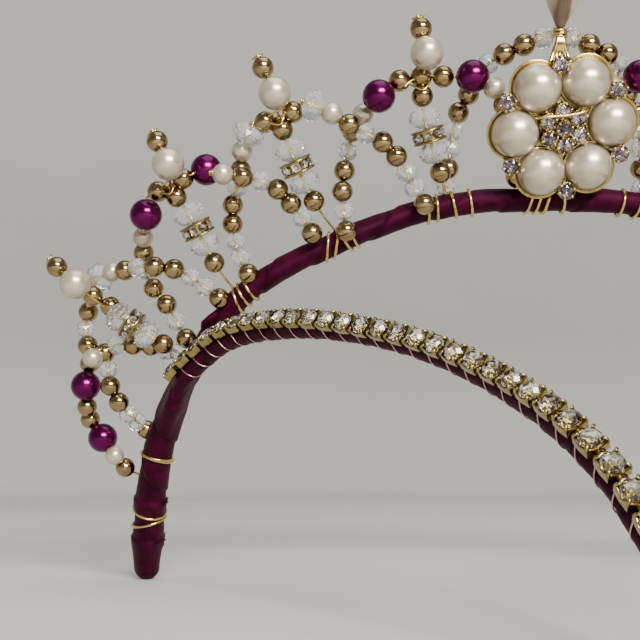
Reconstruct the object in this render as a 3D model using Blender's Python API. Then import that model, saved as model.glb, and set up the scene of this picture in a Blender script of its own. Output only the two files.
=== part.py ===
"""Ballet headpiece: two ribbon-wrapped wire bands that share their legs, a crown of beaded
strings with nine spikes, a stone chain on the front band and a pearl brooch in the middle.
It rests on the tips of its two legs and on the peak of its front band. Metres, +Z up."""
import math
from collections import namedtuple

import bmesh
import bpy
from mathutils import Matrix, Vector

MM = 0.001

# Overall layout, in millimetres: the tips' line, and the crown's lean over the front band
TIPS_Y = 58.05
CROWN_LEAN = math.radians(61.7)
GAP = 0.3

# Wires and beads, as radii in millimetres
WIRE_R = 0.35
ARCH_R = 2.0
FRONT_R = 1.6
LOWER_STRING_R = 1.6
SIDES = 10
TIARA_RINGS = 26
FRONT_RINGS = 32
FRONT_END_SHARE = 0.6
FRONT_TAPER = 0.05
SEARCH_STEP = 0.2
LOWER_RING_STEP = 8.5
LOWER_FLARE = 0.6
WIRE_END_CLEAR = 1.0

# Centreline of half the tiara band: across and up on the crown's plane, and the band's radius
ArchPoint = namedtuple("ArchPoint", "across up radius")
ARCH_HALF = (
    ArchPoint(-79.9, 0.0, 2.7),
    ArchPoint(-78.8, 13.0, 3.0),
    ArchPoint(-76.0, 29.5, 2.9),
    ArchPoint(-72.2, 40.5, 2.7),
    ArchPoint(-68.2, 49.0, 2.1),
    ArchPoint(-57.2, 64.5, ARCH_R),
    ArchPoint(-37.6, 75.6, ARCH_R),
    ArchPoint(-18.8, 82.0, ARCH_R),
    ArchPoint(0.0, 83.2, ARCH_R),
)

# Centreline of half the front band, from the leg to the peak: forward is in front of the tips
FrontPoint = namedtuple("FrontPoint", "across forward height")
FRONT_HALF = (
    FrontPoint(-71.6, 23.7, 35.4),
    FrontPoint(-69.4, 27.2, 39.8),
    FrontPoint(-65.4, 31.2, 43.2),
    FrontPoint(-59.2, 37.8, 46.6),
    FrontPoint(-45.8, 52.1, 46.8),
    FrontPoint(-30.2, 68.7, 42.2),
    FrontPoint(-18.0, 84.6, 34.1),
    FrontPoint(-9.7, 101.3, 23.0),
    FrontPoint(-4.6, 111.4, 9.4),
    FrontPoint(-2.4, 114.2, 3.4),
    FrontPoint(0.0, 114.9, 1.45),
)

# The stone chain that is bound along the upper face of the front band
CUP_PITCH = 3.95
CUP_WIDTH = 3.3
CUP_HEIGHT = 1.5
STONE_RISE = 0.8
STONE_TABLE = 0.6
CHAIN_REACH = 1.2
LINK_HALF = 0.6
LINK_LOW = 0.1
LINK_HIGH = 0.7
CHAIN_FACING_LEG = Vector((0.45, -0.35, 0.82))
CHAIN_FACING_PEAK = Vector((0.0, -0.98, 0.14))
FACING_TURNS_FROM = 68.0
FACING_TURNS_TO = 34.0
CHAIN_START = 7.0
PEAK_CLEAR = 5.6

# Beads on a string: length, radius and the rings of its profile as parts of both
Bead = namedtuple("Bead", "length radius profile")
ROUND = ((0.25, 0.93), (0.75, 0.93))
BICONE = ((0.5, 1.0),)
BEADS = {
    "G": Bead(4.0, 2.0, ROUND),
    "P": Bead(4.0, 2.0, ROUND),
    "M": Bead(6.0, 3.0, ROUND),
    "k": Bead(3.5, 1.9, BICONE),
    "K": Bead(3.9, 2.9, BICONE),
    "S": Bead(2.6, 3.2, ((0.12, 1.0), (0.88, 1.0))),
    "w": Bead(1.5, WIRE_R, ()),
}

# The spikes on the left: where the crossbar of gold beads and the drop below it run
Spike = namedtuple("Spike", "bar_beads bar drop_beads drop pearl top")
SPIKES = (
    Spike("GGG", ((-29.9, 104.6, -0.6), (-23.9, 105.6, -1.2), (-17.9, 105.7, -0.6)),
          "GKSKG", ((-24.0, 104.2, -0.8), (-23.0, 97.0, 1.2), (-19.6, 86.9, 1.4), (-18.9, 82.0, 0.6)),
          (-23.4, 110.0, 1.5), (-24.3, 114.3, -1.5)),
    Spike("GwG", ((-54.4, 96.9, -0.6), (-50.0, 98.4, -1.2), (-45.6, 100.0, -0.6)),
          "GKSKG", ((-50.0, 98.0, -0.8), (-47.4, 91.5, 1.2), (-43.0, 82.4, 1.4), (-38.4, 75.8, 0.6)),
          (-50.6, 102.9, 0.6), (-52.8, 107.2, -1.8)),
    Spike("GwG", ((-74.8, 83.7, -0.6), (-70.9, 85.6, -1.2), (-67.0, 87.6, -0.6)),
          "GKSKG", ((-70.8, 85.4, -0.8), (-67.2, 79.6, 1.2), (-62.8, 70.6, 1.4), (-58.0, 64.2, 0.6)),
          (-70.3, 90.4, 2.4), (-72.6, 94.3, -0.9)),
    Spike("GG", ((-89.0, 65.1, -1.4), (-85.7, 63.2, -1.0), (-82.4, 61.2, -0.6)),
          "KSKGk", ((-83.6, 61.6, -0.4), (-80.8, 58.9, 2.0), (-75.8, 55.8, 2.4), (-70.0, 50.6, -0.6)),
          (-89.2, 67.5, 2.6), (-93.2, 70.0, -0.3)),
)

# The strings between the spikes, from the spike outwards and down to the band.
# An equals sign is the string's plain lower stretch, which runs on to the band.
StringRow = namedtuple("StringRow", "name beads path")
STRINGS = (
    StringRow("outer_string_0", "kGGkkG=",
              ((-0.9, 113.0, -0.7), (-5.7, 111.3, -0.4), (-9.1, 109.7, -0.6), (-12.0, 107.4, -2.9),
               (-13.2, 104.2, -4.4), (-15.4, 101.2, -4.4), (-17.2, 96.8, -3.6), (-18.0, 90.6, -2.8),
               (-18.5, 85.1, -2.0))),
    StringRow("inner_string_1", "P=",
              ((-12.1, 104.9, 0.0), (-9.4, 102.2, -0.4), (-7.6, 96.0, -0.8), (-4.6, 82.8, -0.4))),
    StringRow("outer_string_1", "PG=",
              ((-33.2, 99.9, -0.6), (-35.6, 97.6, -2.4), (-37.0, 92.4, -2.6), (-38.2, 85.0, 0.4),
               (-37.2, 75.6, 4.4))),
    StringRow("inner_string_2", "KPG=",
              ((-45.3, 101.4, 1.4), (-39.8, 99.2, 1.8), (-36.2, 96.9, 2.2), (-32.7, 95.2, 2.0),
               (-29.9, 93.5, 1.6), (-27.6, 90.6, 1.8), (-25.4, 86.7, 2.6), (-23.1, 83.1, 3.4))),
    StringRow("outer_string_2", "KPG=",
              ((-54.9, 96.9, -1.0), (-56.9, 92.4, -2.0), (-57.6, 87.0, -2.6), (-59.2, 80.8, -2.6),
               (-58.4, 73.4, -1.0), (-54.6, 66.2, 2.0))),
    StringRow("inner_string_3", "PG=",
              ((-62.1, 88.8, 2.6), (-56.6, 87.9, 2.2), (-53.1, 87.0, 2.0), (-49.8, 85.2, 1.8),
               (-47.6, 82.5, 1.4), (-45.6, 79.8, 1.4), (-43.9, 77.3, 2.2))),
    StringRow("outer_string_3", "PG=",
              ((-76.1, 77.4, -0.2), (-76.8, 72.4, -3.0), (-76.7, 68.2, -3.7), (-74.9, 64.7, -2.2),
               (-72.5, 62.0, -1.2), (-70.8, 58.8, -0.6), (-68.8, 55.6, 0.4))),
    StringRow("inner_string_4", "KPG=",
              ((-87.2, 66.2, -5.4), (-82.8, 68.6, -3.0), (-78.9, 69.7, 0.1), (-75.6, 70.4, 1.6),
               (-69.6, 69.8, 1.2), (-66.0, 67.4, 0.9), (-61.9, 64.2, 1.4))),
    StringRow("leg_string", "GkGPG=",
              ((-88.0, 63.2, -5.2), (-88.8, 58.4, -3.8), (-88.9, 53.2, -0.6), (-85.4, 51.0, 1.8),
               (-85.2, 46.6, 2.8), (-82.8, 40.6, 2.2), (-74.4, 35.0, 1.0))),
    StringRow("end_string", "MGGMPGw",
              ((-89.8, 48.0, 0.0), (-89.7, 43.8, -1.0), (-89.2, 39.8, -3.6), (-88.3, 36.2, -1.6),
               (-86.6, 33.0, 1.6), (-84.6, 29.6, 0.6), (-82.6, 26.0, -1.6), (-79.6, 24.0, -1.0))),
)

# Purple beads that stand alone between a spike and its string
PURPLE_BEADS = ((-15.0, 105.9, 1.2), (-31.8, 102.5, 1.8), (-63.7, 88.4, -2.6), (-74.8, 81.0, 3.0))

# Brooch: six pearls round seven stones, and six stones outside, in millimetres on the plane
BROOCH_CENTRE = (1.2, 97.2)
BROOCH_TURN = math.radians(6.8)
BROOCH_BACK = 2.4
PLATE_R = 10.6
PLATE_THICK = 1.5
PLATE_SIDES = 20
Stud = namedtuple("Stud", "ring first_degrees count sides profile")
PEARL_PROFILE = ((0.1, 4.15), (1.9, 4.15), (3.9, 3.4), (5.3, 1.25))
CUP_PROFILE = ((0.1, 1.74), (3.4, 1.16))
STUDS = (
    Stud(8.6, 0.0, 6, 10, PEARL_PROFILE),
    Stud(11.3, 30.0, 6, 8, CUP_PROFILE),
    Stud(3.1, 30.0, 6, 8, CUP_PROFILE),
    Stud(0.0, 0.0, 1, 8, CUP_PROFILE),
)

# Teardrop pearl on the middle spike and its wire neck: height above its tip, and radius
DROP_TIP = (0.2, 114.4, 0.4)
DROP_SIDES = 12
DROP_PROFILE = (
    (-4.2, 0.75), (0.3, 0.75), (1.6, 1.6), (4.4, 2.95), (8.0, 3.85), (11.0, 4.0), (13.4, 3.0), (14.8, 1.0),
)


def clear_scene():
    for old in list(bpy.data.objects):
        bpy.data.objects.remove(old, do_unlink=True)


def material(name, colour, roughness, metallic=0.0, transmission=0.0):
    made = bpy.data.materials.new(name)
    made.use_nodes = True
    shader = made.node_tree.nodes["Principled BSDF"]
    shader.inputs["Base Color"].default_value = (*colour, 1.0)
    shader.inputs["Roughness"].default_value = roughness
    shader.inputs["Metallic"].default_value = metallic
    shader.inputs["Transmission Weight"].default_value = transmission
    return made


def crown_point(across, up, out=0.0):
    """A point of the crown's plane, with out counted towards the front band."""
    back = TIPS_Y - up * math.cos(CROWN_LEAN) - out * math.sin(CROWN_LEAN)
    height = up * math.sin(CROWN_LEAN) - out * math.cos(CROWN_LEAN)
    return Vector((across, back, height)) * MM


def crown_axes():
    """The crown's plane as a rotation: X across, Y up the plane, Z out to the front."""
    up = crown_point(0.0, 1.0) - crown_point(0.0, 0.0)
    out = crown_point(0.0, 0.0, 1.0) - crown_point(0.0, 0.0)
    across = up.cross(out)
    return Matrix((across.normalized(), up.normalized(), out.normalized())).transposed()


def smooth_curve(points, steps=12):
    """A centripetal curve through all the points, as a dense list."""
    ends = [points[0] * 2 - points[1], *points, points[-1] * 2 - points[-2]]
    curve = []
    for a, b, c, d in zip(ends, ends[1:], ends[2:], ends[3:]):
        ta = 0.0
        tb = ta + math.sqrt((b - a).length)
        tc = tb + math.sqrt((c - b).length)
        td = tc + math.sqrt((d - c).length)
        for step in range(steps):
            t = tb + (tc - tb) * step / steps
            ab = a.lerp(b, (t - ta) / (tb - ta))
            bc = b.lerp(c, (t - tb) / (tc - tb))
            cd = c.lerp(d, (t - tc) / (td - tc))
            abc = ab.lerp(bc, (t - ta) / (tc - ta))
            bcd = bc.lerp(cd, (t - tb) / (td - tb))
            curve.append(abc.lerp(bcd, (t - tb) / (tc - tb)))
    curve.append(points[-1].copy())
    return curve


class Path:
    """A curve that can be asked for its point and direction at any length along it."""

    def __init__(self, points):
        self.points = smooth_curve(points)
        self.lengths = [0.0]
        for a, b in zip(self.points, self.points[1:]):
            self.lengths.append(self.lengths[-1] + (b - a).length)
        self.total = self.lengths[-1]

    def at(self, length):
        for i, after in enumerate(self.lengths[1:]):
            if length <= after:
                break
        span = self.lengths[i + 1] - self.lengths[i]
        return self.points[i].lerp(self.points[i + 1], (length - self.lengths[i]) / span)

    def direction(self, length, reach=0.4 * MM):
        return (self.at(length + reach) - self.at(length - reach)).normalized()

    def distance(self, point):
        return min((point - own).length for own in self.points)


def add_object(name, mesh, look):
    mesh.materials.append(look)
    made = bpy.data.objects.new(name, mesh)
    bpy.context.scene.collection.objects.link(made)
    return made


def mesh_from(name, verts, faces, sharp_angle=50.0):
    mesh = bpy.data.meshes.new(name)
    mesh.from_pydata([tuple(v) for v in verts], [], faces)
    work = bmesh.new()
    work.from_mesh(mesh)
    bmesh.ops.recalc_face_normals(work, faces=work.faces)
    work.to_mesh(mesh)
    work.free()
    mesh.shade_smooth()
    mesh.set_sharp_from_angle(angle=math.radians(sharp_angle))
    return mesh


def loft_mesh(name, path, stations, sides=SIDES):
    """A round body along a path: stations are (length along the path, radius)."""
    verts = []
    across = None
    for length, radius in stations:
        centre = path.at(length)
        along = path.direction(length)
        if across is None:
            across = along.orthogonal().normalized()
        across = (across - along * across.dot(along)).normalized()
        other = along.cross(across)
        for side in range(sides):
            turn = 2.0 * math.pi * side / sides
            verts.append(centre + (across * math.cos(turn) + other * math.sin(turn)) * radius)
    faces = [list(range(sides)), list(range(len(verts) - sides, len(verts)))]
    for ring in range(len(stations) - 1):
        for side in range(sides):
            near = ring * sides + side
            near_next = ring * sides + (side + 1) % sides
            faces.append((near, near_next, near_next + sides, near + sides))
    return mesh_from(name, verts, faces)


def bead_stations(beads, start=0.0):
    """Rings for a row of touching beads on their wire, and the length where they end."""
    stations = [(start, WIRE_R * MM)]
    for letter in beads:
        bead = BEADS[letter]
        for part, width in bead.profile:
            stations.append((start + part * bead.length * MM, width * bead.radius * MM))
        start += bead.length * MM
        stations.append((start, WIRE_R * MM))
    return stations, start


def mirrored(points, side):
    return [Vector((point.x * side, point.y, point.z)) for point in points]


def arch_path():
    half = [crown_point(row.across, row.up) for row in ARCH_HALF]
    return Path(half + mirrored(half[:-1], -1)[::-1])


def arch_radius(height_up):
    """The band's radius at a distance up the crown's plane."""
    for low, high in zip(ARCH_HALF, ARCH_HALF[1:]):
        if height_up <= high.up:
            part = (height_up - low.up) / (high.up - low.up)
            return low.radius + (high.radius - low.radius) * max(part, 0.0)
    return ARCH_HALF[-1].radius


def build_tiara_band(arch, look):
    stations = []
    for ring in range(TIARA_RINGS + 1):
        length = arch.total * ring / TIARA_RINGS
        up = arch.at(length).z / MM / math.sin(CROWN_LEAN)
        stations.append((length, arch_radius(up) * MM))
    mesh = loft_mesh("tiara_band", arch, stations)
    along = (crown_point(0.0, 1.0) - crown_point(0.0, 0.0)).normalized()
    for vert in [*mesh.vertices[:SIDES], *mesh.vertices[-SIDES:]]:
        vert.co = vert.co - along * (vert.co.z / along.z)
    return add_object("tiara_band", mesh, look)


def front_path():
    half = [Vector((row.across, TIPS_Y - row.forward, row.height)) * MM for row in FRONT_HALF]
    return Path(half + mirrored(half[:-1], -1)[::-1])


def build_front_band(front, look):
    stations = []
    for ring in range(FRONT_RINGS + 1):
        part = ring / FRONT_RINGS
        widened = min(1.0, min(part, 1.0 - part) / FRONT_TAPER)
        share = FRONT_END_SHARE + (1.0 - FRONT_END_SHARE) * widened
        stations.append((front.total * part, FRONT_R * MM * share))
    mesh = loft_mesh("front_band", front, stations)
    for vert in mesh.vertices:
        vert.co.z = max(vert.co.z, 0.0)
    return add_object("front_band", mesh, look)


def chain_frame(front, length):
    """Where the chain lies at a length along the front band: seat, along, across and up."""
    seat = front.at(length)
    along = front.direction(length, CHAIN_REACH * MM)
    turned = (FACING_TURNS_FROM - abs(seat.x) / MM) / (FACING_TURNS_FROM - FACING_TURNS_TO)
    facing = CHAIN_FACING_LEG.lerp(CHAIN_FACING_PEAK, max(0.0, min(1.0, turned)))
    facing.x = math.copysign(facing.x, seat.x)
    up = (facing - along * facing.dot(along)).normalized()
    return seat + up * (FRONT_R + GAP) * MM, along, along.cross(up), up


def cup_lengths(front):
    """Lengths along the front band of the cups on the left half, from the leg to the peak."""
    first = CHAIN_START * MM
    last = front.total / 2.0 - PEAK_CLEAR * MM
    count = round((last - first) / (CUP_PITCH * MM))
    return [first + (last - first) * i / count for i in range(count + 1)]


def chain_mesh(name, front, lengths):
    """Square cups with cut stones, each joined to the next by a narrow waist."""
    half = CUP_WIDTH / 2.0 * MM
    corners = ((-1, -1), (-1, 1), (1, 1), (1, -1))
    waist = ((-1, LINK_LOW), (1, LINK_LOW), (1, LINK_HIGH), (-1, LINK_HIGH))
    verts = []
    faces = []
    for index, length in enumerate(lengths):
        seat, along, across, up = chain_frame(front, length)
        base = len(verts)
        for height in (0.0, CUP_HEIGHT * MM):
            for a, b in corners:
                verts.append(seat + along * half * a + across * half * b + up * height)
        for facet in range(8):
            turn = math.radians(157.5 - 45.0 * facet)
            flat = along * math.cos(turn) + across * math.sin(turn)
            verts.append(seat + flat * half * STONE_TABLE + up * (CUP_HEIGHT + STONE_RISE) * MM)
        low = [base, base + 1, base + 2, base + 3]
        top = [base + 4, base + 5, base + 6, base + 7]
        table = [base + 8 + facet for facet in range(8)]
        faces.extend((low, table, (low[1], low[2], top[2], top[1]), (low[3], low[0], top[0], top[3])))
        for corner in range(4):
            first, second, third = [table[(2 * corner + i) % 8] for i in (-2, -1, 0)]
            faces.append((top[corner], first, second))
            faces.append((top[corner], second, third, top[(corner + 1) % 4]))
        near = (low[0], low[1], top[1], top[0])
        far = (low[3], low[2], top[2], top[3])
        if index == 0:
            faces.append(near)
        else:
            middle = (before_seat + seat) / 2.0
            ring = [len(verts) + i for i in range(4)]
            for a, h in waist:
                verts.append(middle + across * LINK_HALF * MM * a + up * h * MM)
            for i in range(4):
                after = (i + 1) % 4
                faces.append((before_far[i], before_far[after], ring[after], ring[i]))
                faces.append((ring[i], ring[after], near[after], near[i]))
        if index == len(lengths) - 1:
            faces.append(far)
        before_seat = seat
        before_far = far
    return mesh_from(name, verts, faces, 20.0)


def build_chains(front, look):
    left = cup_lengths(front)
    right = [front.total - length for length in left][::-1]
    for name, lengths in (("stone_chain_left", left), ("stone_chain_right", right),
                          ("peak_stone", [front.total / 2.0])):
        add_object(name, chain_mesh(name, front, lengths), look)


def ball(name, centre, letter, look, rings=5):
    mesh = bpy.data.meshes.new(name)
    work = bmesh.new()
    radius = BEADS[letter].radius * MM
    bmesh.ops.create_uvsphere(work, u_segments=SIDES, v_segments=rings, radius=radius)
    work.to_mesh(mesh)
    work.free()
    mesh.shade_smooth()
    made = add_object(name, mesh, look)
    made.location = centre
    return made


def row_path(row, side):
    return Path(mirrored([crown_point(*point) for point in row], side))


def join_to(body, other):
    """Join a hidden body to a shown one."""
    other.hide_render = True
    other.display_type = "WIRE"
    joined = body.modifiers.new(other.name, "BOOLEAN")
    joined.operation = "UNION"
    joined.solver = "EXACT"
    joined.object = other


def run_on_to_band(path, start, arch, seat):
    """The length along a path at which it comes within the seat distance of the band."""
    stop = start
    while arch.distance(path.at(stop + SEARCH_STEP * MM)) > seat * MM and stop < path.total:
        stop += SEARCH_STEP * MM
    return stop


def build_spike(number, row, word, side, arch, looks):
    bar_stations = bead_stations(row.bar_beads)[0]
    bar_mesh = loft_mesh("bar", row_path(row.bar, side), bar_stations)
    path = row_path(row.drop, side)
    stations, end = bead_stations(row.drop_beads)
    stop = run_on_to_band(path, end, arch, ARCH_R + WIRE_R + GAP)
    stations.append((stop, WIRE_R * MM))
    name = f"spike_drop_{word}_{number}"
    drop = add_object(name, loft_mesh(name, path, stations), looks["gold"])
    join_to(drop, add_object(f"bar_{word}_{number}", bar_mesh, looks["gold"]))
    pearl, top = mirrored([crown_point(*row.pearl), crown_point(*row.top)], side)
    ball(f"spike_pearl_{word}_{number}", pearl, "M", looks["pearl"])
    ball(f"spike_gold_{word}_{number}", top, "G", looks["gold"], 4)


def build_string(row, word, side, arch, looks):
    path = row_path(row.path, side)
    stations, end = bead_stations(row.beads.rstrip("="))
    if row.beads.endswith("="):
        radius = LOWER_STRING_R
        seat = arch_radius(row.path[-1][1]) + radius + GAP
        stations.append((end + LOWER_FLARE * MM, radius * MM))
    else:
        radius = WIRE_R
        seat = ARCH_R + WIRE_END_CLEAR + radius + GAP
    stop = run_on_to_band(path, end, arch, seat)
    steps = max(1, round((stop - end) / (LOWER_RING_STEP * MM)))
    first = stations[-1][0]
    for step in range(1, steps + 1):
        stations.append((first + (stop - first) * step / steps, radius * MM))
    name = f"{row.name}_{word}"
    add_object(name, loft_mesh(name, path, stations), looks["gold"])


def turned_mesh(name, profile, sides):
    """A closed turned body about Z from rows of height and radius, in millimetres."""
    verts = []
    for height, radius in profile:
        for side in range(sides):
            turn = 2.0 * math.pi * side / sides
            verts.append(Vector((radius * math.cos(turn), radius * math.sin(turn), height)) * MM)
    faces = [list(range(sides)), list(range(len(verts) - sides, len(verts)))]
    for ring in range(len(profile) - 1):
        for side in range(sides):
            near = ring * sides + side
            near_next = ring * sides + (side + 1) % sides
            faces.append((near, near_next, near_next + sides, near + sides))
    return mesh_from(name, verts, faces, 40.0)


def place_on_crown(made, across, up, out):
    made.matrix_world = Matrix.Translation(crown_point(across, up, out)) @ crown_axes().to_4x4()


def build_brooch(looks):
    plate = turned_mesh("brooch", ((0.0, PLATE_R), (PLATE_THICK, PLATE_R)), PLATE_SIDES)
    brooch = add_object("brooch", plate, looks["gold"])
    place_on_crown(brooch, *BROOCH_CENTRE, BROOCH_BACK)
    across, up = BROOCH_CENTRE
    for row_number, row in enumerate(STUDS):
        for index in range(row.count):
            turn = math.radians(row.first_degrees + 360.0 * index / row.count) + BROOCH_TURN
            name = f"stud_{row_number}_{index}"
            stud = add_object(name, turned_mesh(name, row.profile, row.sides), looks["pearl"])
            place_on_crown(stud, across + row.ring * math.cos(turn),
                           up + row.ring * math.sin(turn), BROOCH_BACK)
            join_to(brooch, stud)


def build_teardrop(looks):
    drop = add_object("teardrop_pearl", turned_mesh("teardrop_pearl", DROP_PROFILE, DROP_SIDES),
                      looks["pearl"])
    upright = crown_axes().to_4x4() @ Matrix.Rotation(math.radians(-90.0), 4, "X")
    drop.matrix_world = Matrix.Translation(crown_point(*DROP_TIP)) @ upright


def build_headpiece():
    clear_scene()
    ribbon = material("plum_ribbon", (0.12, 0.008, 0.035), 0.45)
    looks = {
        "gold": material("gold_bead", (0.72, 0.53, 0.25), 0.25, 1.0),
        "pearl": material("cream_pearl", (0.87, 0.80, 0.70), 0.22),
        "purple": material("purple_pearl", (0.32, 0.02, 0.16), 0.2, 0.3),
        "stone": material("clear_stone", (0.9, 0.9, 0.92), 0.05, 0.0, 0.8),
    }
    arch = arch_path()
    front = front_path()
    build_tiara_band(arch, ribbon)
    build_front_band(front, ribbon)
    build_chains(front, looks["stone"])
    build_brooch(looks)
    build_teardrop(looks)
    for word, side in (("left", 1), ("right", -1)):
        for number, row in enumerate(SPIKES, 1):
            build_spike(number, row, word, side, arch, looks)
        for row in STRINGS:
            build_string(row, word, side, arch, looks)
        for number, spot in enumerate(PURPLE_BEADS, 1):
            centre = mirrored([crown_point(*spot)], side)[0]
            ball(f"purple_bead_{word}_{number}", centre, "M", looks["purple"])


build_headpiece()
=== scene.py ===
"""Looks of the ballet headpiece, dressed over its solids. Worked in millimetres, made in metres."""

import random
from collections import namedtuple
from math import asin, copysign, cos, floor, pi, radians, sin, sqrt, tan

import bpy
import numpy as np
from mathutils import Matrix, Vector, noise


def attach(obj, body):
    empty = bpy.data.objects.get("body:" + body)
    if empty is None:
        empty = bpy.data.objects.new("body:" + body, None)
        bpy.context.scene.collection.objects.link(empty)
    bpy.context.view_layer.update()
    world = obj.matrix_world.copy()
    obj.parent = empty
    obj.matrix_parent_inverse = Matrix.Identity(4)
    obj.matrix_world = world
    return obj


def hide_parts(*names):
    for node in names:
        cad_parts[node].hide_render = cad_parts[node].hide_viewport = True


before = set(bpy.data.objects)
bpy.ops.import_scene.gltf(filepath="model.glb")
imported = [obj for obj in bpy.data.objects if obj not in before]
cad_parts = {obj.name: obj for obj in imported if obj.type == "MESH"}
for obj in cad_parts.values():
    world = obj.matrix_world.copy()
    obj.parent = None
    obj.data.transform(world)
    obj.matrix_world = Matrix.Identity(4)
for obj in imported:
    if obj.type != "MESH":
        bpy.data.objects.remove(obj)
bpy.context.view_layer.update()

MM = 0.001

# Overall layout: the line of the leg tips, the crown's lean over the front band, the least height
# over the floor, the bands' radii and the gap between the front band and its chain
TIPS_Y = 58.05
CROWN_LEAN = radians(61.7)
FLOOR_CLEAR = 0.02
ARCH_R = 2.0
FRONT_R = 1.6
GAP = 0.3

# Half the tiara band's centreline on the crown's plane, and the band's radius
ArchPoint = namedtuple("ArchPoint", "across up radius")
ARCH_HALF = [ArchPoint(*row) for row in (
    (-79.9, 0.0, 2.7),
    (-78.8, 13.0, 3.0),
    (-76.0, 29.5, 2.9),
    (-72.2, 40.5, 2.7),
    (-68.2, 49.0, 2.1),
    (-57.2, 64.5, ARCH_R),
    (-37.6, 75.6, ARCH_R),
    (-18.8, 82.0, ARCH_R),
    (0.0, 83.2, ARCH_R),
)]

# Half the front band's centreline: forward is in front of the tips
FrontPoint = namedtuple("FrontPoint", "across forward height")
FRONT_HALF = [FrontPoint(*row) for row in (
    (-71.6, 23.7, 35.4),
    (-69.4, 27.2, 39.8),
    (-65.4, 31.2, 43.2),
    (-59.2, 37.8, 46.6),
    (-45.8, 52.1, 46.8),
    (-30.2, 68.7, 42.2),
    (-18.0, 84.6, 34.1),
    (-9.7, 101.3, 23.0),
    (-4.6, 111.4, 9.4),
    (-2.4, 114.2, 3.4),
    (0.0, 114.9, 1.45),
)]

# Stone chain on the front band
CUP_PITCH = 3.95
CUP_WIDTH = 3.3
CUP_HEIGHT = 1.5
CHAIN_FACING_LEG = np.array((0.45, -0.35, 0.82))
CHAIN_FACING_PEAK = np.array((0.0, -0.98, 0.14))
FACING_TURNS_FROM = 68.0
FACING_TURNS_TO = 34.0
CHAIN_START = 7.0
PEAK_CLEAR = 5.6

# Radii of a bead's hole and of the wires: in beads, round the band, in a coil, along the chain
HOLE_R = 0.42
WIRE_R = 0.24
BAND_WIRE_R = 0.3
COIL_WIRE_R = 0.2
BINDING_R = 0.12
BINDING_REACH = FRONT_R + 0.14
BINDING_SIDES = 18

# Beads by letter: gold, pearl, purple pearl, small and large crystal, stone spacer, bare wire
Bead = namedtuple("Bead", "length radius")
BEADS = {
    "G": Bead(4.0, 2.0),
    "P": Bead(4.0, 2.0),
    "M": Bead(6.0, 3.0),
    "k": Bead(3.5, 1.95),
    "K": Bead(3.9, 2.95),
    "S": Bead(2.6, 3.2),
    "w": Bead(1.5, WIRE_R),
}

# Spikes on the left: crossbar, drop down to the band, then the pearl and gold on top
Spike = namedtuple("Spike", "bar_beads bar drop_beads drop pearl top")
SPIKES = (
    Spike("GGG", ((-29.9, 104.6, -0.6), (-23.9, 105.6, -1.2), (-17.9, 105.7, -0.6)),
          "GKSKG", ((-24.0, 104.2, -0.8), (-23.0, 97.0, 1.2), (-19.6, 86.9, 1.4), (-18.9, 82.0, 0.6)),
          (-23.4, 110.0, 1.5), (-24.3, 114.0, -1.5)),
    Spike("GwG", ((-54.4, 96.9, -0.6), (-50.0, 98.4, -1.2), (-45.6, 100.0, -0.6)),
          "GKSKG", ((-50.0, 98.0, -0.8), (-47.4, 91.5, 1.2), (-43.0, 82.4, 1.4), (-38.4, 75.8, 0.6)),
          (-50.6, 102.9, 0.6), (-52.8, 107.2, -1.8)),
    Spike("GwG", ((-74.8, 83.7, -0.6), (-70.9, 85.6, -1.2), (-67.0, 87.6, -0.6)),
          "GKSKG", ((-70.6, 85.2, -0.8), (-66.6, 79.8, 1.2), (-62.4, 71.0, 1.4), (-58.0, 64.2, 0.6)),
          (-70.3, 90.4, 2.4), (-72.6, 94.0, -0.9)),
    Spike("GG", ((-88.6, 64.9, -1.4), (-85.4, 62.9, -1.0), (-82.4, 61.2, -0.6)),
          "KSKGk", ((-83.2, 60.9, 0.2), (-80.0, 59.6, 2.0), (-75.8, 57.0, 2.6), (-70.4, 52.6, 0.6)),
          (-89.2, 67.5, 2.6), (-93.2, 70.0, -0.3)),
)

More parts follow.
